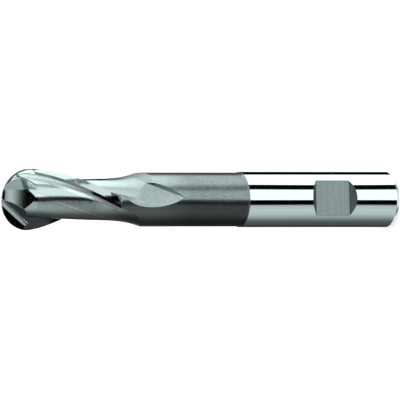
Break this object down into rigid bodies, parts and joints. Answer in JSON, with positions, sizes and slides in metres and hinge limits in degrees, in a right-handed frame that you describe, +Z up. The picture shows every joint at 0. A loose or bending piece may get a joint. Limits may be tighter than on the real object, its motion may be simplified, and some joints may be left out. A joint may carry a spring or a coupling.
{
  "type": "ball nose end mill",
  "caption": "Right-hand helical milling cutter with a ball nose, a thinner neck and a plain round shank that carries one clamping flat.",
  "frame": {"origin": "centre of the shank's end face", "axes": "+Z up the tool's axis to the ball, -Y out of the clamping flat"},
  "size_m": [0.0174, 0.018, 0.1229],
  "materials": {
    "tool_steel": "ground bright on the shank, the lands and the ball, satin on the neck and in the flutes"
  },
  "bodies": {
    "root": {"end_mill": "tool_steel"}
  },
  "joints": []
}
